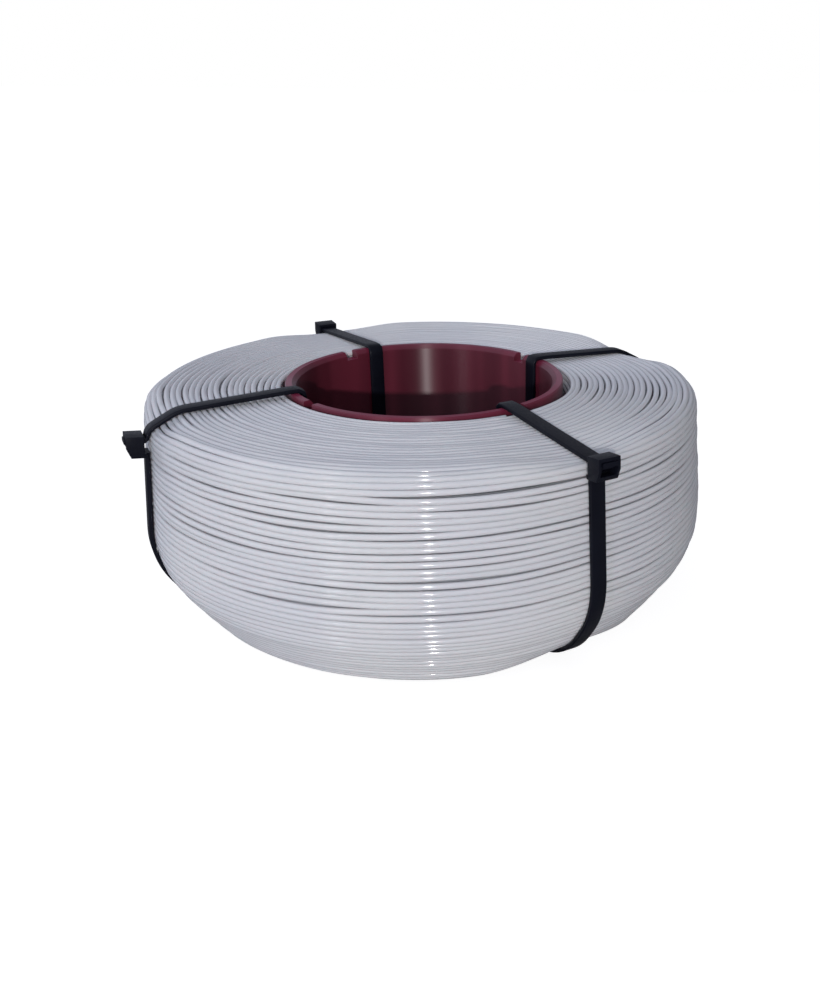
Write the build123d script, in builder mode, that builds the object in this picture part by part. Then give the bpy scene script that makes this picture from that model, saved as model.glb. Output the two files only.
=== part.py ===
"""A refill coil of filament for a 3-D printer: a notched core tube, the wound filament and four cable ties.

The origin is on the coil's axis at the level it lies on, and +Z runs up the axis. Sections are drawn in
(distance from the axis, height) and either revolved or extruded across a tie's own upright plane.
"""

import os
from math import atan2, cos, radians, sin, sqrt

from build123d import *

os.makedirs("parts", exist_ok=True)

# Cable ties: the strap, the air that is left between a strap and what it holds, and how deep a
# pulled strap sinks into the winding's top and side
strap_w = 4.8
strap_t = 1.25
strap_air = 0.05
strap_sink = 0.8

# Core tube
bore_r = 40.0
core_wall = 3.25
core_r = bore_r + core_wall
rim_proud = 1.0
inner_chamfer = 1.2
outer_chamfer = 0.3
notch_w = 4.2
notch_depth = 2.6
notch_azimuth = 38.0
notch_count = 4

# Winding: its corners before they are rounded, as (distance from the axis, height above its underside)
winding_h = 66.0
foot_r = 72.5
belly_r, belly_h = 88.4, 22.0
shoulder_r = 84.4
foot_round, belly_round, shoulder_round = 9.0, 26.0, 4.5

z_low = strap_t + strap_air
z_high = z_low + winding_h
core_top = z_high + rim_proud

# Tie head, measured outwards from the strap's inner face and down from the head's top
head_w = 6.8
head_d = 6.4
head_l = 6.2
head_taper_d, head_taper_l = 1.3, 2.8
head_round = 0.4
slot_w = 5.1
slot_top, slot_bottom = 1.0, 5.0
slot_air = 0.12
tail_stub = 0.4
tail_low = slot_top + slot_air + strap_t
tail_bend = 1.6
root_in_head = 1.2
tooth_pitch, tooth_depth = 0.9, 0.22

# Pawl inside the head, in the head's own two directions
pawl_w = 4.4
pawl_root_r = 0.4
pawl_hinge = (2.0, -4.55)
pawl_outline = [
    (1.74, -4.25),
    (3.50, -3.15),
    (4.05, -2.47),
    (4.15, -2.80),
    (4.60, -2.80),
    (4.95, -2.47),
    (5.05, -3.20),
    (2.26, -4.86),
]

# Ties: name, direction of the tie's plane in degrees, how far that plane passes beside the axis,
# and how far the head's top lies under the top of the winding
ties = [
    ("front_right", -63.5, 5.4, -0.3),
    ("left", 201.0, 0.0, 5.9),
    ("back_left", 115.3, 0.0, -0.3),
    ("back_right", 26.7, 0.0, 17.0),
]

# The winding's top and bottom corners give way under a tie: where the strap leaves the flat top, how
# far down it meets the side, and the roundings of its line at the top, the foot, the throat of a head
# and the rim of the core, then the groove that it lies in
corner_head_limit = 2.0
corner_dip_r = 66.0
shoulder_cut_r, shoulder_cut_h = 75.5, 4.5
dip_round, side_round, foot_squeeze = 10.0, 3.5, 26.0
throat_round = 2.3
rim_inner_round, groove_corner_round = 0.8, 0.9
groove_clear = 0.04
groove_h = 6.0
groove_from_r, groove_to_r = 46.0, 56.0

up = Vector(0, 0, 1)
side_lean = atan2(belly_r - shoulder_r, winding_h - belly_h)


def write(builder, label):
    """Label a finished piece and write its STEP file."""
    builder.part.label = label
    export_step(builder.part, f"parts/{label}.step")


def tie_plane(azimuth, beside):
    """The upright plane that a tie lies in: local x runs outwards and local y upwards."""
    outward = Vector(1, 0, 0).rotate(Axis.Z, azimuth)
    across = up.cross(outward)
    return Plane(origin=across * beside, x_dir=outward, z_dir=outward.cross(up))


def side_r(height):
    """Distance of the strap's inner face from the axis on the straight upper side of the winding."""
    lean_out = (z_high - height) * (belly_r - shoulder_r) / (winding_h - belly_h)
    return shoulder_r + strap_air - strap_sink + lean_out


def head_plane(plane, drop):
    """The head's plane: origin on the strap's inner face at the head's top, local x out of the coil."""
    top = z_high - drop
    outward = plane.x_dir * cos(side_lean) + up * sin(side_lean)
    return Plane(origin=plane.from_local_coords((side_r(top), top, 0)), x_dir=outward, z_dir=plane.z_dir)


def head_point(drop, x, y):
    """A point of the head's plane as (distance from the axis, height)."""
    top = z_high - drop
    r = side_r(top) + x * cos(side_lean) - y * sin(side_lean)
    return (r, top + x * sin(side_lean) + y * cos(side_lean))


def lower_line():
    """Corners and roundings of the strap's inner face from the winding's belly to its underside."""
    corners = [(belly_r + strap_air - strap_sink, z_low + belly_h), (foot_r, z_low - strap_air)]
    return corners, [belly_round - strap_sink, foot_squeeze]


def upper_line(drop):
    """Corners and roundings of the strap's inner face from the flat top to the head's slot."""
    over = z_high + strap_air - strap_sink
    if drop < corner_head_limit:
        return [(corner_dip_r, over), head_point(drop, 0, -tail_low)], [dip_round, throat_round]
    side_h = over - shoulder_cut_h
    corners = [(shoulder_cut_r, over), (side_r(side_h), side_h), head_point(drop, 0, -tail_low)]
    return corners, [dip_round, side_round, tail_bend]


def strap_line(beside, drop):
    """Corners and roundings of the strap's inner face, from its root in the head to its cut end."""
    edge = abs(beside) + strap_w / 2
    wall = sqrt(bore_r**2 - edge**2) - strap_air
    low, low_rounds = lower_line()
    high, high_rounds = upper_line(drop)
    round_rim = [
        (wall, z_low - strap_air),
        (wall, core_top + strap_air),
        (core_r, core_top + strap_air),
    ]
    ends = head_point(drop, 0, -head_l + root_in_head), head_point(drop, head_d + tail_stub, -tail_low)
    rim_rounds = [rim_inner_round, rim_inner_round, core_wall]
    return [ends[0], *low, *round_rim, *high, ends[1]], low_rounds + rim_rounds + high_rounds


def groove_line(drop):
    """Corners and roundings of the floor of the groove that a pulled strap presses in the winding."""
    low, low_rounds = lower_line()
    high, high_rounds = upper_line(drop)
    slope = (core_top - z_high + strap_sink) / (high[0][0] - core_r)
    start = (groove_from_r, core_top + strap_air - (groove_from_r - core_r) * slope)
    stop = (groove_to_r, z_low - strap_air)
    if drop < corner_head_limit:
        high_rounds = [dip_round, groove_corner_round]
    else:
        high, high_rounds = high[:-1], high_rounds[:-1]
    return [start, *high, *low, stop], high_rounds + low_rounds


# Core tube: a thin plain tube, eased at its edges, with drive notches cut in both rims
with BuildPart() as core:
    with BuildSketch(Plane.XY.offset(z_low)):
        Circle(core_r)
        Circle(bore_r, mode=Mode.SUBTRACT)
    extrude(amount=core_top - z_low)
    rims = core.edges().filter_by(GeomType.CIRCLE)
    chamfer(rims.filter_by(lambda edge: edge.radius < core_r - core_wall / 2), length=inner_chamfer)
    chamfer(rims.filter_by(lambda edge: edge.radius > core_r - core_wall / 2), length=outer_chamfer)
    for rim, into_wall in ((core_top, -notch_depth), (z_low, notch_depth)):
        with BuildSketch(Plane.XY.offset(rim)):
            with PolarLocations(bore_r + core_wall / 2, notch_count, start_angle=notch_azimuth):
                Rectangle(core_wall * 2, notch_w)
        extrude(amount=into_wall, mode=Mode.SUBTRACT)
write(core, "core_ring")

# Winding: the closed shape of all the wound turns, wider low down than at the top, with a groove that
# each pulled tie presses in it
with BuildPart() as winding:
    with BuildSketch(Plane.XZ):
        with BuildLine():
            FilletPolyline(
                (core_r, z_low),
                (foot_r, z_low),
                (belly_r, z_low + belly_h),
                (shoulder_r, z_high),
                (core_r, z_high),
                radius=[foot_round, belly_round, shoulder_round],
            )
            Line((core_r, z_high), (core_r, z_low))
        make_face()
    revolve(axis=Axis.Z)
    for name, azimuth, beside, drop in ties:
        upright = tie_plane(azimuth, beside)
        corners, rounds = groove_line(drop)
        with BuildLine(upright) as groove:
            FilletPolyline(*corners, radius=rounds)
        floor = Plane(origin=groove.line @ 0, x_dir=upright.z_dir, z_dir=groove.line % 0)
        with BuildSketch(floor):
            with Locations((0, groove_clear)):
                Rectangle(strap_w + 2 * strap_air, groove_h, align=(Align.CENTER, Align.MAX))
        sweep(path=groove.line, mode=Mode.SUBTRACT)
write(winding, "filament_winding")

for name, azimuth, beside, drop in ties:
    upright = tie_plane(azimuth, beside)
    in_head = head_plane(upright, drop)
    corners, rounds = strap_line(beside, drop)

    # One nylon moulding: the box-shaped head with its slot, and the strap that comes back through it
    with BuildPart() as tie:
        with BuildSketch(in_head):
            with BuildLine():
                Polyline(
                    (strap_sink + strap_air, -head_l),
                    (head_d - head_taper_d, -head_l),
                    (head_d, -head_l + head_taper_l),
                    (head_d, 0),
                    (strap_t + 2 * slot_air, 0),
                    (strap_t + 2 * slot_air, -slot_bottom),
                    (strap_sink + strap_air, -slot_bottom),
                    close=True,
                )
            make_face()
        extrude(amount=head_w / 2, both=True)
        fillet(tie.faces().sort_by(Axis(in_head.origin, in_head.x_dir))[-1].edges(), head_round)
        with BuildSketch(in_head):
            with BuildLine():
                Polyline(
                    (0, -slot_top),
                    (head_d * 2, -slot_top),
                    (head_d * 2, -slot_bottom),
                    (0, -slot_bottom),
                    close=True,
                )
            make_face()
        extrude(amount=slot_w / 2, both=True, mode=Mode.SUBTRACT)
        with BuildLine(upright) as route:
            FilletPolyline(*corners, radius=rounds)
        with BuildSketch(Plane(origin=route.line @ 0, x_dir=upright.z_dir, z_dir=route.line % 0)):
            Rectangle(strap_w, strap_t, align=(Align.CENTER, Align.MAX))
        sweep(path=route.line)
        teeth = int((head_d + tail_stub - tail_bend) / tooth_pitch)
        with BuildSketch(in_head):
            for tooth in range(teeth):
                x = tail_bend + tooth * tooth_pitch
                with BuildLine():
                    Polyline(
                        (x, -tail_low - tooth_depth),
                        (x, -tail_low + tooth_depth),
                        (x + tooth_pitch * 0.8, -tail_low - tooth_depth),
                        close=True,
                    )
                make_face()
        extrude(amount=pawl_w / 2, both=True, mode=Mode.SUBTRACT)
    write(tie, f"tie_{name}")

    # The tongue moulded into the slot, whose teeth hold the strap by its cut serrations
    with BuildPart() as pawl:
        with BuildSketch(in_head):
            with BuildLine():
                Polyline(*pawl_outline, close=True)
            make_face()
            with Locations(pawl_hinge):
                Circle(pawl_root_r)
        extrude(amount=pawl_w / 2, both=True)
    write(pawl, f"pawl_{name}")
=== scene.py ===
"""A refill coil of white filament: a notched red core tube, the wound strand and four black cable ties."""

from math import atan2, cos, dist, pi, radians, sin, sqrt

import bpy
from mathutils import Matrix, Vector


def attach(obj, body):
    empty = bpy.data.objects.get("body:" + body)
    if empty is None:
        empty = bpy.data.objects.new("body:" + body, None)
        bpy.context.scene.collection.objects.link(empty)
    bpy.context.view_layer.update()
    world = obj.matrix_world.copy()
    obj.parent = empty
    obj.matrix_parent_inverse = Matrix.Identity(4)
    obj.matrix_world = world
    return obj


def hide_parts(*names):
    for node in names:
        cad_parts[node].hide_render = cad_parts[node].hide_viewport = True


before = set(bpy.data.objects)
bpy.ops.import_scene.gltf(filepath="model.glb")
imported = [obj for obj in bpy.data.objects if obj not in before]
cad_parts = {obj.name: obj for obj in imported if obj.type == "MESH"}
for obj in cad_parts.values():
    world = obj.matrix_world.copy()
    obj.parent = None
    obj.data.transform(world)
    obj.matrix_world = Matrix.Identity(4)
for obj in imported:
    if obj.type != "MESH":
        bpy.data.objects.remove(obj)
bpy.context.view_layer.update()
mm = 0.001

# ---------------------------------------------------------------------------------------------
# Core tube. A thin moulded tube of glossy dark red plastic that the strand is wound on. Its drawn
# wall catches light in upright streaks. Its flat cut rims and a thin band just under its top are painted
# paler: a painted glow for the light that falls on them and shines through the thin edges.
# ---------------------------------------------------------------------------------------------
core_r = 43.25
core_top = 68.3
core_wall_colour = (0.150, 0.020, 0.038, 1)
core_deep_colour = (0.085, 0.009, 0.020, 1)
# The paler colour painted on the rims and under the top, as painted light caught by and let through the thin
# edges
painted_rim_glow_colour = (0.260, 0.034, 0.075, 1)
streak_stretch, streak_scale = 0.04, 90.0
# Painted glow: how far under the top the painted paler band reaches, and how much of the pale colour it gets
painted_glow_depth, painted_glow_share = 2.0, 0.35


def feed(tree, plug, value):
    """Join a node's input to another node's output, or set it to a value."""
    if isinstance(value, bpy.types.NodeSocket):
        tree.links.new(value, plug)
    else:
        plug.default_value = value


def add(tree, kind, plugs, **settings):
    """A new node with its settings, and with its inputs fed by name or by number."""
    node = tree.nodes.new(kind)
    for name, value in settings.items():
        setattr(node, name, value)
    for plug, value in plugs.items():
        feed(tree, node.inputs[plug], value)
    return node


def calc(tree, operation, *values):
    """The result of one sum."""
    return add(tree, "ShaderNodeMath", dict(enumerate(values)), operation=operation).outputs[0]


def ramp(tree, value, low, high, to_low=0.0, to_high=1.0):
    """Value carried smoothly from the range low..high to the range to_low..to_high."""
    plugs = {"Value": value, "From Min": low, "From Max": high, "To Min": to_low, "To Max": to_high}
    return add(tree, "ShaderNodeMapRange", plugs, interpolation_type="SMOOTHSTEP").outputs["Result"]


def noise(tree, vector, scale, detail=2.0, seed=0.0):
    """Cloudy noise from 0 to 1."""
    plugs = {"Vector": vector, "W": seed, "Scale": scale, "Detail": detail}
    return add(tree, "ShaderNodeTexNoise", plugs, noise_dimensions="4D").outputs[0]


def blend_colour(tree, share, first, second):
    """A colour that goes from first to second as share goes from 0 to 1."""
    mix = add(tree, "ShaderNodeMix", {"Factor": share}, data_type="RGBA")
    colours = [plug for plug in mix.inputs if plug.type == "RGBA"]
    feed(tree, colours[0], first)
    feed(tree, colours[1], second)
    return [plug for plug in mix.outputs if plug.type == "RGBA"][0]


def plastic(name):
    """A new material: its node tree and its shader."""
    material = bpy.data.materials.new(name)
    material.use_nodes = True
    return material, material.node_tree, material.node_tree.nodes["Principled BSDF"]


def bump(tree, shader, height, depth):
    """Raise the shader's surface by height times depth, in metres."""
    made = add(tree, "ShaderNodeBump", {"Height": height, "Strength": 1.0, "Distance": depth})
    tree.links.new(made.outputs["Normal"], shader.inputs["Normal"])


red_core, tree, shader = plastic("red translucent core")
place = add(tree, "ShaderNodeTexCoord", {}).outputs["Object"]
axes = add(tree, "ShaderNodeSeparateXYZ", {"Vector": place}).outputs
upright = add(tree, "ShaderNodeMapping", {"Vector": place, "Scale": (1.0, 1.0, streak_stretch)}).outputs[0]
bands = noise(tree, upright, streak_scale)
facing = add(tree, "ShaderNodeNewGeometry", {}).outputs["Normal"]
upward = add(tree, "ShaderNodeSeparateXYZ", {"Vector": facing}).outputs["Z"]
wall_colour = blend_colour(tree, ramp(tree, bands, 0.35, 0.65), core_deep_colour, core_wall_colour)
# Painted light: faces turned up or down (the cut rims) and a thin band under the top get a paler colour, for
# light caught by and let through the edges
painted_facing_glow = ramp(tree, calc(tree, "ABSOLUTE", upward), 0.72, 0.95)
painted_top_glow = ramp(tree, axes["Z"], (core_top - painted_glow_depth) * mm, core_top * mm, 0.0, painted_glow_share)
painted_glow_mix = calc(tree, "MAXIMUM", painted_facing_glow, painted_top_glow)
feed(tree, shader.inputs["Base Color"], blend_colour(tree, painted_glow_mix, wall_colour, painted_rim_glow_colour))
feed(tree, shader.inputs["Roughness"], ramp(tree, bands, 0.3, 0.7, 0.36, 0.44))
shader.inputs["Specular IOR Level"].default_value = 0.6
shader.inputs["Anisotropic"].default_value = 1.0
shader.inputs["Anisotropic Rotation"].default_value = 0.25
around = add(tree, "ShaderNodeTangent", {}, direction_type="RADIAL", axis="Z").outputs[0]
tree.links.new(around, shader.inputs["Tangent"])
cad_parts["core_ring"].data.materials.clear()
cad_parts["core_ring"].data.materials.append(red_core)

# ---------------------------------------------------------------------------------------------
# Winding. One 1.75 mm strand of glossy white plastic, wound in layers straight onto the core tube.
# The two outer layers are laid finely and the layers inside them coarsely, to the strand's whole
# length. The ties squeeze the turns, which stand prouder between them.
# ---------------------------------------------------------------------------------------------
strand_r = 0.875
strand_pitch = 1.86
winding_low = 1.3
winding_high = 67.3
belly_r, belly_z, shoulder_r, foot_r = 88.4, 23.3, 84.4, 72.5
belly_round, foot_squeeze, sink = 26.0, 26.0, 0.8
inner_end = core_r + 0.1
foot_round, shoulder_round = 9.0, 4.5
cut_r, cut_h, side_bend, dip_r, dip_bend = 75.5, 4.5, 3.5, 66.0, 10.0
side_ease, corner_ease, corner_drop, corner_bend = 0.4, 0.2, 1.4, 1.0
outline_steps = 16
# Distances from a tie: where its squeeze ends, and where the strand has bent back from it
clear_from, clear_to = 2.5, 7.0
bent_from, bent_to = 1.0, 27.0
# The outline of the turns between the ties, and the one that they are squeezed to under a tie:
# distance from the axis, height, and how far each corner is rounded
free_outline = [
    (inner_end, winding_low, 0.0),
    (foot_r, winding_low, foot_round),
    (belly_r, belly_z, belly_round),
    (shoulder_r, winding_high, shoulder_round),
    (inner_end, winding_high, 0.0),
]
side_outline = [
    (inner_end, winding_low, 0.0),
    (foot_r, winding_low, foot_squeeze),
    (belly_r - sink, belly_z, belly_round - sink),
    (shoulder_r - sink + side_ease, winding_high - sink - cut_h, side_bend),
    (cut_r, winding_high - sink, dip_bend),
    (inner_end, winding_high, 0.0),
]
# Under the two ties whose heads sit at the shoulder, the shoulder gives way less
corner_outline = [
    *side_outline[:3],
    (shoulder_r - sink + corner_ease, winding_high - sink - corner_drop, corner_bend),
    (dip_r, winding_high - sink, dip_bend),
    (inner_end, winding_high, 0.0),
]
widest_r = 87.5
# Where each tie crosses the coil: its direction in degrees, and how far it passes beside the axis
tie_places = [(-63.5, 5.4), (201.0, 0.0), (115.3, 0.0), (26.7, 0.0)]


def line_object(name, points, edges, rounds=None):
    """Points joined by edges, each point with the radius that its corner is rounded to."""
    mesh = bpy.data.meshes.new(name)
    mesh.from_pydata([Vector(point) * mm for point in points], edges, [])
    if rounds:
        mesh.attributes.new("round", "FLOAT", "POINT").data.foreach_set("value", [r * mm for r in rounds])
    made = bpy.data.objects.new(name, mesh)
    bpy.context.scene.collection.objects.link(made)
    return made


def chain(count):
    """The edges that join a row of points."""
    return [(n, n + 1) for n in range(count - 1)]


def new_tree(name, sockets):
    """An empty Geometry Nodes tree with named inputs, its input plugs, and its output node."""
    tree = bpy.data.node_groups.new(name, "GeometryNodeTree")
    tree.interface.new_socket("Geometry", in_out="INPUT", socket_type="NodeSocketGeometry")
    for label, kind in sockets.items():
        tree.interface.new_socket(label, in_out="INPUT", socket_type="NodeSocket" + kind)
    tree.interface.new_socket("Geometry", in_out="OUTPUT", socket_type="NodeSocketGeometry")
    return tree, tree.nodes.new("NodeGroupInput").outputs, tree.nodes.new("NodeGroupOutput")


def rounded_line(tree, line, steps):
    """A line as a curve with its corners rounded."""
    curve = add(tree, "GeometryNodeMeshToCurve", {"Mesh": line}).outputs["Curve"]
    radius = add(tree, "GeometryNodeInputNamedAttribute", {"Name": "round"}, data_type="FLOAT")
    fillet = tree.nodes.new("GeometryNodeFilletCurve")
    fillet.mode = "POLY"
    for name, value in (("Curve", curve), ("Radius", radius.outputs["Attribute"]), ("Count", steps)):
        feed(tree, fillet.inputs[name], value)
    return fillet.outputs["Curve"]


def close_tree(tree, output, geometry, material):
    """End a tree: smooth shading, real mesh, material."""
    smooth = add(tree, "GeometryNodeSetShadeSmooth", {"Geometry": geometry}).outputs[0]
    real = add(tree, "GeometryNodeRealizeInstances", {"Geometry": smooth}).outputs[0]
    done = add(tree, "GeometryNodeSetMaterial", {"Geometry": real, "Material": material})
    tree.links.new(done.outputs[0], output.inputs[0])


def grow(name, guide, tree, sizes):
    """Run a tree on a guide line and return what it makes as a plain mesh object."""
    made = bpy.data.objects.new(name, guide.data.copy())
    bpy.context.scene.collection.objects.link(made)
    modifier = made.modifiers.new("nodes", "NODES")
    modifier.node_group = tree
    for item in tree.interface.items_tree:
        if item.in_out == "INPUT" and item.name in sizes:
            modifier[item.identifier] = sizes[item.name]
    bpy.context.view_layer.update()
    result = made.evaluated_get(bpy.context.evaluated_depsgraph_get())
    mesh = bpy.data.meshes.new_from_object(result)
    made.modifiers.clear()
    made.data = mesh
    mesh.name = name
    return made


def strand_tree():
    """A strand wound round the upright axis, one turn beside the other along an outline."""
    sockets = {
        "Side outline": "Object", "Corner outline": "Object", "Tie lines": "Object", "Pitch": "Float",
        "First turn": "Float", "Turns": "Float",
        "Strand radius": "Float", "Steps per turn": "Int", "Sides": "Int", "Depth": "Float",
        "Drift": "Float", "Own drift": "Float", "Proud": "Float", "Own proud": "Float",
        "Groove": "Float", "Bulge": "Float", "Widest radius": "Float",
        "Whole length": "Float", "Seed": "Float",
        "Material": "Material",
    }
    tree, plugs, output = new_tree("wound strand", sockets)
    free_line = rounded_line(tree, plugs["Geometry"], outline_steps)
    squeezed = [
        add(tree, "GeometryNodeObjectInfo", {"Object": plug}).outputs["Geometry"]
        for plug in (plugs["Side outline"], plugs["Corner outline"])
    ]
    side_line, corner_line = (rounded_line(tree, line, outline_steps) for line in squeezed)

    count = calc(tree, "ADD", calc(tree, "MULTIPLY", plugs["Turns"], plugs["Steps per turn"]), 1.0)
    line = add(tree, "GeometryNodeCurvePrimitiveLine", {"End": (0.0, 0.0, 1.0)}).outputs[0]
    path = add(tree, "GeometryNodeResampleCurve", {"Curve": line, "Count": count}).outputs[0]

    index = tree.nodes.new("GeometryNodeInputIndex").outputs[0]
    turn = calc(tree, "ADD", calc(tree, "DIVIDE", index, plugs["Steps per turn"]), plugs["First turn"])
    angle = calc(tree, "MULTIPLY_ADD", turn, 2 * pi, radians(tie_places[3][0]))
    east, north = calc(tree, "COSINE", angle), calc(tree, "SINE", angle)

    def wobble(around, per_turn, extra_seed):
        """Noise from -1 to 1 that closes round the coil and changes from one turn to the next."""
        spot = add(tree, "ShaderNodeCombineXYZ", {
            "X": calc(tree, "MULTIPLY", east, around),
            "Y": calc(tree, "MULTIPLY", north, around),
            "Z": calc(tree, "MULTIPLY", turn, per_turn),
        }).outputs[0]
        value = noise(tree, spot, 1.0, 1.0, calc(tree, "ADD", plugs["Seed"], extra_seed))
        return calc(tree, "MULTIPLY_ADD", value, 2.0, -1.0)

    along = calc(tree, "MULTIPLY", turn, plugs["Pitch"])
    along = calc(tree, "MULTIPLY_ADD", wobble(1.3, 0.45, 0.0), plugs["Drift"], along)
    along = calc(tree, "MULTIPLY_ADD", wobble(1.1, 2.9, 5.0), plugs["Own drift"], along)
    share = calc(tree, "DIVIDE", along, plugs["Whole length"])

    def on_line(line):
        """Place and direction on an outline, at this share of its length."""
        sample = tree.nodes.new("GeometryNodeSampleCurve")
        sample.mode = "FACTOR"
        sample.use_all_curves = True
        feed(tree, sample.inputs["Curves"], line)
        feed(tree, sample.inputs["Factor"], share)
        spot = add(tree, "ShaderNodeSeparateXYZ", {"Vector": sample.outputs["Position"]}).outputs
        way = add(tree, "ShaderNodeSeparateXYZ", {"Vector": sample.outputs["Tangent"]}).outputs
        return spot["X"], spot["Z"], way["X"], way["Z"]

    def between(first, second, amount):
        """First where amount is 0, second where it is 1."""
        return calc(tree, "MULTIPLY_ADD", calc(tree, "SUBTRACT", second, first), amount, first)

    # The ties stand crosswise, so a cosine of twice the angle tells the one pair from the other
    twice = calc(tree, "MULTIPLY", turn, 4 * pi)
    at_side = calc(tree, "MULTIPLY_ADD", calc(tree, "COSINE", twice), 0.5, 0.5)
    free_place = on_line(free_line)
    squeezed_place = [
        between(corner, side, at_side) for corner, side in zip(on_line(corner_line), on_line(side_line))
    ]
    near = add(tree, "ShaderNodeCombineXYZ", {
        "X": calc(tree, "MULTIPLY", free_place[0], east),
        "Y": calc(tree, "MULTIPLY", free_place[0], north),
    }).outputs[0]
    ties = add(tree, "GeometryNodeObjectInfo", {"Object": plugs["Tie lines"]}).outputs["Geometry"]
    reach = tree.nodes.new("GeometryNodeProximity")
    reach.target_element = "EDGES"
    feed(tree, reach.inputs[0], ties)
    feed(tree, reach.inputs["Sample Position"], near)
    free = ramp(tree, reach.outputs["Distance"], clear_from * mm, clear_to * mm)
    # The stiff strand bends in to the squeezed outline over a longer way at its corners
    relaxed = ramp(tree, reach.outputs["Distance"], bent_from * mm, bent_to * mm)

    spot_r, spot_z, way_r, way_z = (between(s, f, relaxed) for s, f in zip(squeezed_place, free_place))
    pressed = calc(tree, "MULTIPLY", calc(tree, "SUBTRACT", 1.0, free), relaxed)

    proud = calc(tree, "MULTIPLY", wobble(1.5, 0.7, 9.0), plugs["Proud"])
    proud = calc(tree, "MULTIPLY_ADD", wobble(1.2, 3.3, 14.0), plugs["Own proud"], proud)
    proud = calc(tree, "MULTIPLY", calc(tree, "ADD", proud, plugs["Bulge"]), free)
    inset = calc(tree, "SUBTRACT", calc(tree, "ADD", plugs["Strand radius"], plugs["Depth"]), proud)
    inset = calc(tree, "MULTIPLY_ADD", pressed, plugs["Groove"], inset)
    ring_r = calc(tree, "SUBTRACT", spot_r, calc(tree, "MULTIPLY", way_z, inset))
    height = calc(tree, "MULTIPLY_ADD", way_r, inset, spot_z)
    limit = calc(tree, "SUBTRACT", plugs["Widest radius"], plugs["Strand radius"])
    ring_r = calc(tree, "MINIMUM", ring_r, limit)
    point = add(tree, "ShaderNodeCombineXYZ", {
        "X": calc(tree, "MULTIPLY", ring_r, east),
        "Y": calc(tree, "MULTIPLY", ring_r, north),
        "Z": height,
    }).outputs[0]
    laid = add(tree, "GeometryNodeSetPosition", {"Geometry": path, "Position": point}).outputs[0]
    ring = add(tree, "GeometryNodeCurvePrimitiveCircle", {
        "Resolution": plugs["Sides"], "Radius": plugs["Strand radius"],
    }).outputs[0]
    tube = add(tree, "GeometryNodeCurveToMesh", {"Curve": laid, "Profile Curve": ring, "Fill Caps": True})
    close_tree(tree, output, tube.outputs[0], plugs["Material"])
    return tree


white_strand, tree, shader = plastic("white filament")
place = add(tree, "ShaderNodeTexCoord", {}).outputs["Object"]
patches = noise(tree, place, 26.0, 2.0)
streaks = add(tree, "ShaderNodeMapping", {"Vector": place, "Scale": (0.12, 0.12, 1.0)}).outputs[0]
gloss = noise(tree, streaks, 700.0, 2.0)
cool_white, warm_white = (0.78, 0.78, 0.81, 1), (0.84, 0.835, 0.845, 1)
strand_colour = blend_colour(tree, ramp(tree, patches, 0.35, 0.65), cool_white, warm_white)
feed(tree, shader.inputs["Base Color"], strand_colour)
feed(tree, shader.inputs["Roughness"], ramp(tree, gloss, 0.3, 0.7, 0.07, 0.11))
shader.inputs["Subsurface Weight"].default_value = 0.6
shader.inputs["Subsurface Radius"].default_value = (1.0, 0.85, 0.85)
shader.inputs["Subsurface Scale"].default_value = 1.8 * mm
shader.inputs["IOR"].default_value = 1.5

# The lines start inside the core and end outside the winding
tie_reach = (30.0, 95.0)
tie_line_points = []
for azimuth, beside in tie_places:
    outward = Vector((cos(radians(azimuth)), sin(radians(azimuth)), 0.0))
    across = Vector((-outward.y, outward.x, 0.0))
    tie_line_points += [across * beside + outward * reach for reach in tie_reach]
tie_edges = [(n, n + 1) for n in range(0, len(tie_line_points), 2)]
tie_lines = line_object("tie_lines", tie_line_points, tie_edges)


def outline_object(name, corners):
    """An outline as a line object."""
    points = [(r, 0.0, z) for r, z, _ in corners]
    return line_object(name, points, chain(len(points)), [rounding for *_, rounding in corners])


outline = outline_object("outline", free_outline)
side_line = outline_object("side_outline", side_outline)
corner_line = outline_object("corner_outline", corner_outline)

wound = strand_tree()
# The length of the outline between the ties, which the turns share out
whole_length = 138.4
under_depth = 1.42
layer_sizes = {
    "Side outline": side_line, "Corner outline": corner_line, "Tie lines": tie_lines,
    "Pitch": strand_pitch * mm,
    "Strand radius": strand_r * mm, "Whole length": whole_length * mm, "Depth": 0.0,
    "Drift": 1.1 * mm, "Own drift": 0.26 * mm, "Proud": 0.35 * mm, "Own proud": 0.25 * mm,
    "Groove": 1.0 * mm, "Bulge": 0.12 * mm, "Widest radius": widest_r * mm,
    "Seed": 3.0, "Material": white_strand,
}
# name, first turn, number of turns, steps per turn, sides
outer_turns = [
    ("strand_underside", 0.46, 17.0, 192, 10),
    ("strand_side_low", 17.46, 18.0, 288, 12),
    ("strand_side_high", 35.46, 19.0, 288, 12),
    ("strand_top", 54.46, 19.3, 288, 12),
]
strands = []
for name, first, turns, steps, sides in outer_turns:
    sizes = dict(layer_sizes)
    sizes.update({"First turn": first, "Turns": turns, "Steps per turn": steps, "Sides": sides})
    strands.append(grow(name, outline, wound, sizes))
sizes = dict(layer_sizes)
sizes.update({
    "First turn": 0.96, "Turns": 72.3, "Steps per turn": 128, "Sides": 8, "Depth": under_depth * mm,
    "Own drift": 0.2 * mm, "Bulge": 0.0, "Own proud": 0.1 * mm,
})
strands.append(grow("strand_under_layer", outline, wound, sizes))

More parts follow.
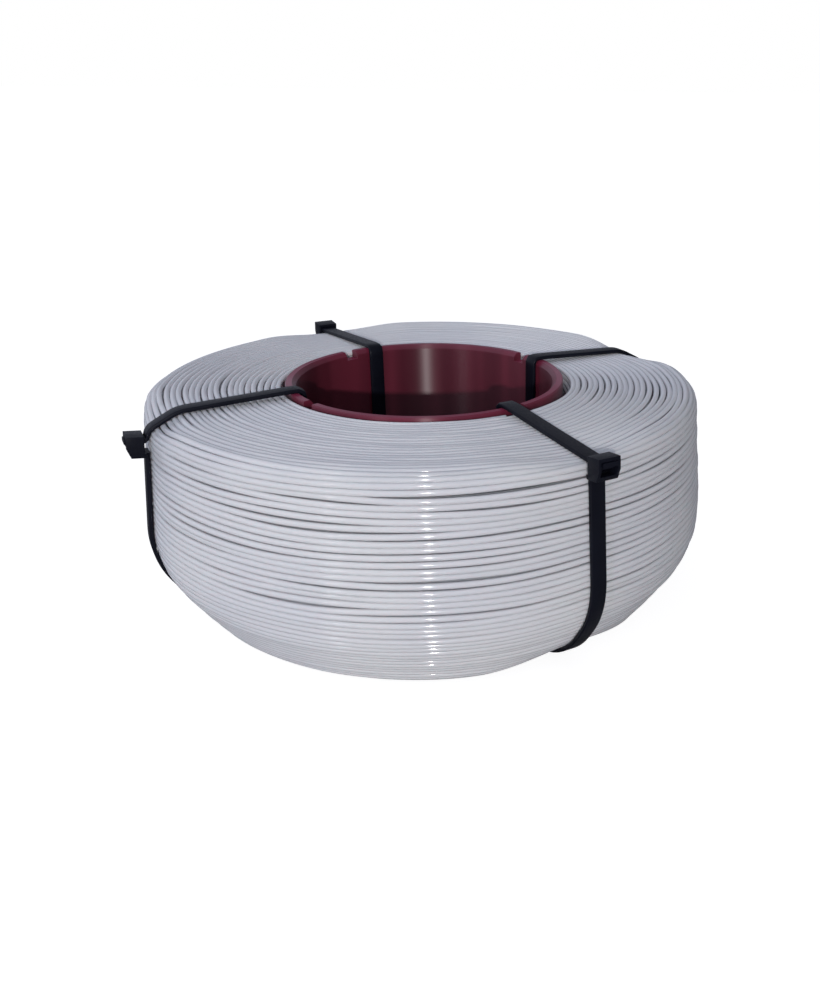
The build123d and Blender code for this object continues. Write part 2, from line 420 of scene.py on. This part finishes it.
# The layers inside, each a straight row of turns up or down the coil, wound outwards from the core
layer_step, cover, cut_in_r = 1.66, 3.6, 70.0
foot_slope = (belly_z - winding_low) / (belly_r - foot_r)
inner_rows, level = [], 0
inner_r = core_r + cover / 2
while inner_r < belly_r - sink - cover:
    low = winding_low + cover + max(0.0, inner_r - foot_r + cover) * foot_slope
    high = winding_high - cover - max(0.0, inner_r - cut_in_r) * foot_slope
    row = [(inner_r, 0.0, low), (inner_r, 0.0, high)]
    inner_rows += row if level % 2 == 0 else row[::-1]
    inner_r, level = inner_r + layer_step, level + 1
inner_line = line_object("inner_rows", inner_rows, chain(len(inner_rows)), [0.0] * len(inner_rows))
inner_length = sum(dist(first, second) for first, second in zip(inner_rows, inner_rows[1:]))
inner_pieces = 3
sizes = dict(layer_sizes)
sizes.update({
    "Side outline": inner_line, "Corner outline": inner_line,
    "Whole length": inner_length * mm, "Depth": -strand_r * mm,
    "Turns": inner_length / strand_pitch / inner_pieces, "Steps per turn": 48, "Sides": 5,
    "Drift": 0.0, "Own drift": 0.0, "Proud": 0.0, "Own proud": 0.0, "Groove": 0.0, "Bulge": 0.0,
})
for number in range(inner_pieces):
    sizes["First turn"] = number * sizes["Turns"]
    strands.append(grow(f"strand_inside_{number + 1}", inner_line, wound, sizes))

for strand in strands:
    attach(strand, "coil")
    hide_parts("filament_winding")
for guide in (tie_lines, outline, side_line, corner_line, inner_line):
    bpy.data.objects.remove(guide)

# ---------------------------------------------------------------------------------------------
# Ties. Four black nylon cable ties, each a strap and a box head in one moulding, pulled tight round
# the coil's section until the strap sinks into the turns, and then trimmed at the head. The toothed
# pawl in each head's slot, which holds the strap, is the CAD's own piece in the same nylon.
# ---------------------------------------------------------------------------------------------
black_nylon, tree, shader = plastic("black nylon")
place = add(tree, "ShaderNodeTexCoord", {}).outputs["Object"]
grain = noise(tree, place, 1500.0, 3.0)
deep_black, worn_black = (0.0040, 0.0046, 0.0090, 1), (0.0065, 0.0075, 0.0140, 1)
wear = ramp(tree, noise(tree, place, 60.0), 0.35, 0.65)
feed(tree, shader.inputs["Base Color"], blend_colour(tree, wear, deep_black, worn_black))
feed(tree, shader.inputs["Roughness"], ramp(tree, grain, 0.3, 0.7, 0.34, 0.46))
shader.inputs["Specular IOR Level"].default_value = 0.14
bump(tree, shader, grain, 0.01 * mm)
strap_w, strap_t, strap_air, strap_edge = 4.8, 1.25, 0.05, 0.38
bend_steps = 12
bore_r, core_wall = 40.0, 3.25
head_w, head_d, head_l, head_base = 6.8, 6.4, 6.2, 1.2
taper_d, taper_l, head_ease = 1.3, 2.8, 0.28
slot_w, slot_top, slot_bottom, passage = 5.1, 1.0, 5.0, 1.49
tail_low, tail_out, tail_bend, throat_bend = 2.37, 0.4, 1.6, 2.3
rim_bend = 0.8
strap_in = strap_air - sink
# A head that lies less than this under the top sits at the shoulder
corner_head = 2.0
side_lean = atan2(belly_r - shoulder_r, winding_high - belly_z)
# name, and how far the head's top lies below the top of the winding
tie_heads = [("front_right", -0.3), ("left", 5.9), ("back_left", -0.3), ("back_right", 17.0)]


def side_r(height):
    """Distance of the strap's inner face from the axis on the straight upper side."""
    slope = (belly_r - shoulder_r) / (winding_high - belly_z)
    return shoulder_r + strap_in + (winding_high - height) * slope


def in_head(drop, x, y):
    """A point x out from the strap's inner face and y up from the head's top, in the tie's plane."""
    top = winding_high - drop
    r = side_r(top) + x * cos(side_lean) - y * sin(side_lean)
    return r, top + x * sin(side_lean) + y * cos(side_lean)


def strap_route(beside, drop):
    """Corners of the strap's inner face, with their rounding, from the head round to the cut tail."""
    wall = sqrt(bore_r**2 - (abs(beside) + strap_w / 2) ** 2) - strap_air
    over = winding_high + strap_in
    if drop < corner_head:
        shoulder = [(dip_r, over, dip_bend)]
        bend = throat_bend
    else:
        shoulder = [(cut_r, over, dip_bend), (side_r(over - cut_h), over - cut_h, side_bend)]
        bend = tail_bend
    return [
        (*in_head(drop, 0, -head_l + head_base), 0),
        (belly_r + strap_in, belly_z, belly_round - sink),
        (foot_r, winding_low - strap_air, foot_squeeze),
        (wall, winding_low - strap_air, rim_bend),
        (wall, core_top + strap_air, rim_bend),
        (core_r, core_top + strap_air, core_wall),
        *shoulder,
        (*in_head(drop, 0, -tail_low), bend),
        (*in_head(drop, head_d + tail_out, -tail_low), 0),
    ]


def strap_tree():
    """A flat strap with rounded edges that follows a route lying in an upright plane."""
    sockets = {
        "Across": "Vector", "Width": "Float", "Thickness": "Float", "Edge rounding": "Float",
        "Step": "Float", "Material": "Material",
    }
    tree, plugs, output = new_tree("strap", sockets)
    route = rounded_line(tree, plugs["Geometry"], bend_steps)
    steps = tree.nodes.new("GeometryNodeResampleCurve")
    steps.mode = "LENGTH"
    feed(tree, steps.inputs["Curve"], route)
    feed(tree, steps.inputs["Length"], plugs["Step"])
    turned = tree.nodes.new("GeometryNodeSetCurveNormal")
    turned.mode = "FREE"
    feed(tree, turned.inputs["Curve"], steps.outputs[0])
    feed(tree, turned.inputs["Normal"], plugs["Across"])
    section = add(tree, "GeometryNodeCurvePrimitiveQuadrilateral", {
        "Width": plugs["Width"], "Height": plugs["Thickness"],
    }).outputs[0]
    eased = tree.nodes.new("GeometryNodeFilletCurve")
    eased.mode = "POLY"
    for name, value in (("Curve", section), ("Radius", plugs["Edge rounding"]), ("Count", 3)):
        feed(tree, eased.inputs[name], value)
    lift = add(tree, "ShaderNodeCombineXYZ", {"Y": calc(tree, "MULTIPLY", plugs["Thickness"], 0.5)})
    placed = add(tree, "GeometryNodeSetPosition", {"Geometry": eased.outputs[0], "Offset": lift.outputs[0]})
    band = add(tree, "GeometryNodeCurveToMesh", {
        "Curve": turned.outputs[0], "Profile Curve": placed.outputs[0], "Fill Caps": True,
    }).outputs[0]
    close_tree(tree, output, band, plugs["Material"])
    return tree


def prism(name, outline, half_width):
    """A closed solid: an outline in the tie's plane, carried half_width to each side of it."""
    count = len(outline)
    points = [(x * mm, y * mm, side * half_width * mm) for side in (-1, 1) for x, y in outline]
    faces = [tuple(range(count - 1, -1, -1)), tuple(range(count, 2 * count))]
    faces += [(n, (n + 1) % count, (n + 1) % count + count, n + count) for n in range(count)]
    mesh = bpy.data.meshes.new(name)
    mesh.from_pydata(points, [], faces)
    made = bpy.data.objects.new(name, mesh)
    bpy.context.scene.collection.objects.link(made)
    return made


def plain_mesh(made, name):
    """An object's mesh with its modifiers worked in, as a new mesh."""
    bpy.context.view_layer.update()
    mesh = bpy.data.meshes.new_from_object(made.evaluated_get(bpy.context.evaluated_depsgraph_get()))
    mesh.name = name
    return mesh


# One head, worked out flat: its block, less the slot that the tail comes through, with eased edges
block_x = 0.1 - strap_in
block = prism("head_block", [
    (block_x, -head_l), (head_d - taper_d, -head_l), (head_d, -head_l + taper_l), (head_d, 0),
    (passage, 0), (passage, -slot_bottom), (block_x, -slot_bottom),
], head_w / 2)
cut_from, cut_to = passage - 0.5, head_d + 1
slot_cut = prism("slot_cut", [
    (cut_from, -slot_bottom), (cut_to, -slot_bottom), (cut_to, -slot_top), (cut_from, -slot_top),
], slot_w / 2)
carve = block.modifiers.new("slot", "BOOLEAN")
carve.operation, carve.object, carve.solver = "DIFFERENCE", slot_cut, "EXACT"
ease = block.modifiers.new("eased edges", "BEVEL")
ease.width, ease.segments = head_ease * mm, 3
ease.limit_method, ease.angle_limit = "ANGLE", radians(35)
head_mesh = plain_mesh(block, "tie_head")
head_mesh.shade_smooth()
head_mesh.set_sharp_from_angle(angle=radians(40))
head_mesh.materials.append(black_nylon)
for spare in (block, slot_cut):
    bpy.data.objects.remove(spare)

band_tree, strap_step = strap_tree(), 1.2
for (name, drop), (azimuth, beside) in zip(tie_heads, tie_places):
    outward = Vector((cos(radians(azimuth)), sin(radians(azimuth)), 0))
    across = Vector((0, 0, 1)).cross(outward)
    corners = strap_route(beside, drop)
    points = [across * beside + outward * r + Vector((0, 0, z)) for r, z, _ in corners]
    route = line_object("route", points, chain(len(points)), [corner[2] for corner in corners])
    strap = grow("cable_tie_" + name, route, band_tree, {
        "Across": across, "Width": strap_w * mm, "Thickness": strap_t * mm,
        "Edge rounding": strap_edge * mm, "Step": strap_step * mm, "Material": black_nylon,
    })
    r, z = in_head(drop, 0, 0)
    out = outward * cos(side_lean) + Vector((0, 0, sin(side_lean)))
    above = Vector((0, 0, cos(side_lean))) - outward * sin(side_lean)
    side = out.cross(above)
    origin = (across * beside + outward * r + Vector((0, 0, z))) * mm
    head = bpy.data.objects.new("head_" + name, head_mesh.copy())
    head.data.transform(Matrix((
        (out.x, above.x, side.x, origin.x),
        (out.y, above.y, side.y, origin.y),
        (out.z, above.z, side.z, origin.z),
        (0, 0, 0, 1),
    )))
    bpy.context.scene.collection.objects.link(head)
    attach(strap, "coil")
    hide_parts("tie_" + name)
    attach(head, "coil")
    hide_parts("tie_" + name)
    bpy.data.objects.remove(route)
    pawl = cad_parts["pawl_" + name]
    pawl.data.materials.clear()
    pawl.data.materials.append(black_nylon)

# ---------------------------------------------------------------------------------------------
# Stage. A plain pale floor, a soft room light from the left, two softboxes and one small hard lamp
# that draws the line of sparkles down the front of the turns, and the camera.
# ---------------------------------------------------------------------------------------------
floor_mesh = bpy.data.meshes.new("floor")
half = 12.0
corners = [(-half, -half, 0), (half, -half, 0), (half, half, 0), (-half, half, 0)]
floor_mesh.from_pydata(corners, [], [(0, 1, 2, 3)])
floor = bpy.data.objects.new("floor", floor_mesh)
bpy.context.scene.collection.objects.link(floor)
pale, tree, shader = plastic("pale floor")
shader.inputs["Base Color"].default_value = (0.34, 0.34, 0.345, 1)
shader.inputs["Roughness"].default_value = 0.9
shader.inputs["Specular IOR Level"].default_value = 0.1
shader.inputs["Emission Color"].default_value = (1.0, 1.0, 1.0, 1)
# It glows for the eye that looks at it, and sheds less of that on the coil
looked_at = add(tree, "ShaderNodeLightPath", {}).outputs["Is Camera Ray"]
feed(tree, shader.inputs["Emission Strength"], ramp(tree, looked_at, 0.0, 1.0, 0.02, 0.90))
floor_mesh.materials.append(pale)

# The room: brighter to the left than to the right, and white where the camera looks past the floor
world = bpy.data.worlds.new("studio")
bpy.context.scene.world = world
world.use_nodes = True
tree = world.node_tree
direction = add(tree, "ShaderNodeTexCoord", {}).outputs["Generated"]
sideways = add(tree, "ShaderNodeSeparateXYZ", {"Vector": direction}).outputs["X"]
bright_side, dim_side = (0.54, 0.57, 0.68, 1), (0.04, 0.04, 0.042, 1)
glow = blend_colour(tree, ramp(tree, sideways, -0.9, 1.3), bright_side, dim_side)
looked_at = add(tree, "ShaderNodeLightPath", {}).outputs["Is Camera Ray"]
feed(tree, tree.nodes["Background"].inputs["Color"], blend_colour(tree, looked_at, glow, (1.0, 1.0, 1.0, 1)))
tree.nodes["Background"].inputs["Strength"].default_value = 1.0


lit_height = 0.035


def lamp(name, azimuth, elevation, distance, wide, high, power, colour):
    """An upright oblong light that shines on the coil from a direction given in degrees."""
    turn, rise = radians(azimuth), radians(elevation)
    way = Vector((cos(turn) * cos(rise), sin(turn) * cos(rise), sin(rise)))
    light = bpy.data.lights.new(name, "AREA")
    light.shape, light.size, light.size_y = "RECTANGLE", wide, high
    light.energy, light.color = power, colour
    made = bpy.data.objects.new(name, light)
    made.location = way * distance + Vector((0, 0, lit_height))
    made.rotation_euler = way.to_track_quat("Z", "Y").to_euler()
    bpy.context.scene.collection.objects.link(made)


lamp("small_lamp", -91.0, 13.0, 1.5, 0.03, 0.03, 8.6, (1.0, 0.97, 0.97))
lamp("front_softbox", -90.0, 32.0, 1.6, 0.9, 0.7, 0.3, (1.0, 0.98, 0.98))
lamp("left_softbox", -127.0, 20.0, 1.5, 0.12, 0.9, 1.3, (0.93, 0.95, 1.0))

eye_distance, eye_elevation = 334.87, radians(21.0736)
turn_right, tilt_down, roll = radians(6.122), radians(2.811), radians(0.6425)
aim_height = (winding_low + winding_high) / 2 + 0.15
eye = Vector((0, -eye_distance * cos(eye_elevation), aim_height + eye_distance * sin(eye_elevation)))
dip = eye_elevation + tilt_down
ahead = Vector((sin(turn_right) * cos(dip), cos(turn_right) * cos(dip), -sin(dip)))
rightward = ahead.cross(Vector((0, 0, 1))).normalized()
upward = rightward.cross(ahead)
# A small roll about the line of sight
level_right, level_up = rightward.copy(), upward.copy()
rightward = level_right * cos(roll) + level_up * sin(roll)
upward = level_up * cos(roll) - level_right * sin(roll)
camera_data = bpy.data.cameras.new("camera")
camera_data.sensor_width = 36.0
camera_data.lens = 36.51
camera_data.shift_x, camera_data.shift_y = -0.1199, 0.02536
camera_data.clip_start, camera_data.clip_end = 0.01, 20.0
camera = bpy.data.objects.new("camera", camera_data)
camera.matrix_world = Matrix((
    (rightward.x, upward.x, -ahead.x, eye.x * mm),
    (rightward.y, upward.y, -ahead.y, eye.y * mm),
    (rightward.z, upward.z, -ahead.z, eye.z * mm),
    (0, 0, 0, 1),
))
bpy.context.scene.collection.objects.link(camera)
bpy.context.scene.camera = camera
bpy.context.scene.view_settings.view_transform = "Standard"
